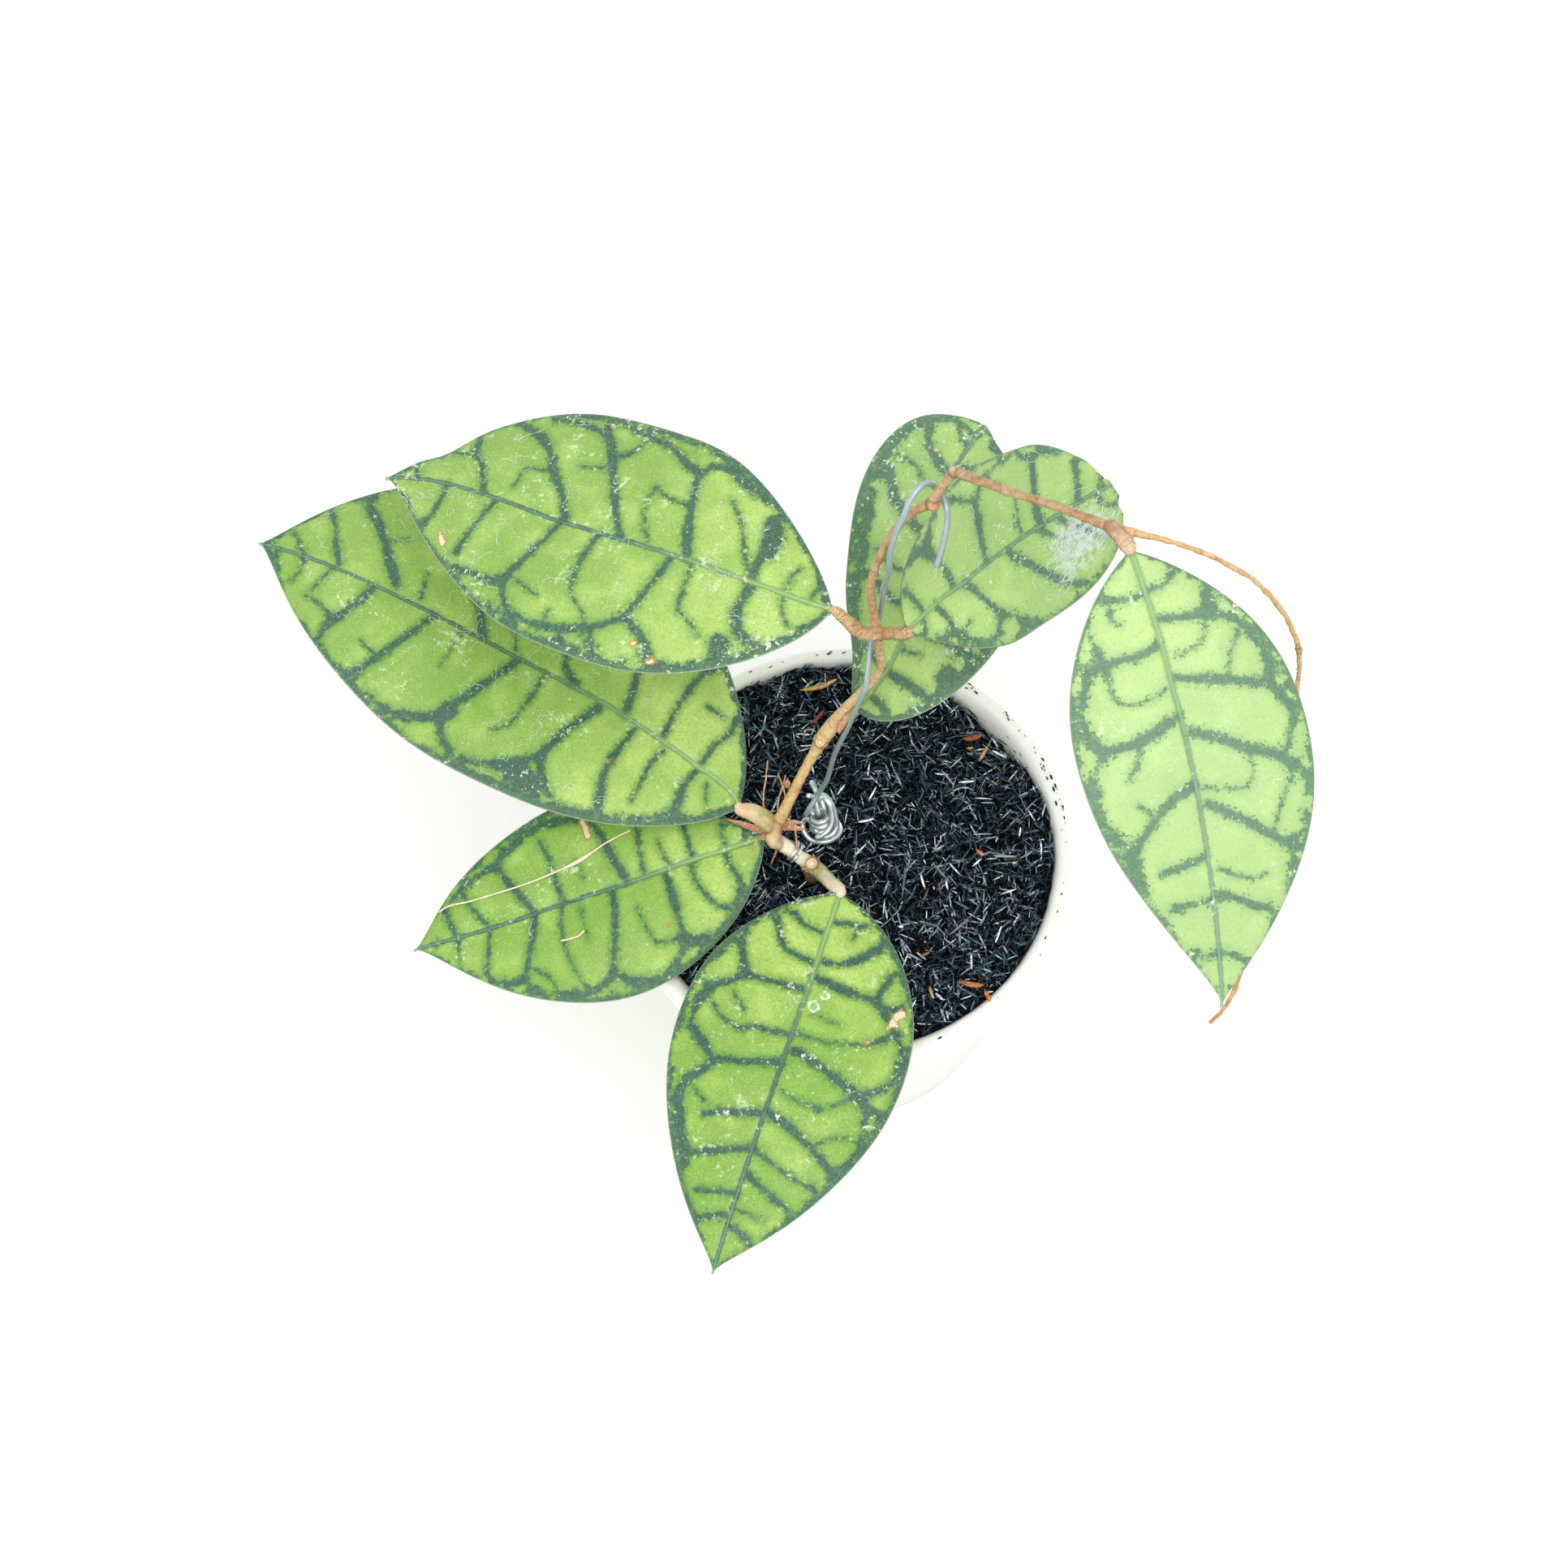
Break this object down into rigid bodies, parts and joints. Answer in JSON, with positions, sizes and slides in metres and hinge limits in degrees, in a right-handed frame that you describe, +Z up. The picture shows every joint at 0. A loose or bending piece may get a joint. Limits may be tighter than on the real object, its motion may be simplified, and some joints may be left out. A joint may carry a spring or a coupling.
{
  "type": "potted hoya plant",
  "caption": "Climbing houseplant with large netted leaves on a woody vine, led up a bent wire, in a white plastic nursery pot of charred husk.",
  "frame": {"origin": "centre of the pot's flat underside", "axes": "+Z up along the pot's axis, -Y towards the side that the front leaf hangs over, +X to the right as seen from there"},
  "size_m": [0.2474, 0.2089, 0.2517],
  "materials": {
    "pot_plastic": "injection-moulded white polypropylene, satin",
    "charred_husk": "loose charred rice husk with ash-grey glints",
    "vine_bark": "tan speckled young bark with dry cracks",
    "leaf_blade": "thick waxy leaf, light green with a dark green net of veins",
    "galvanised_wire": "dull galvanised steel wire",
    "dry_fibre": "dry straw-coloured fibre"
  },
  "bodies": {
    "root": {"pot": "pot_plastic", "substrate": "charred_husk", "vine": "vine_bark", "leaf_left_upper": "leaf_blade", "leaf_left_lower": "leaf_blade", "leaf_left_rim": "leaf_blade", "leaf_front": "leaf_blade", "leaf_back": "leaf_blade", "leaf_right_upper": "leaf_blade", "leaf_hanging": "leaf_blade", "wire_support": "galvanised_wire", "wire_tie": "galvanised_wire", "dry_fibre": "dry_fibre"}
  },
  "joints": []
}
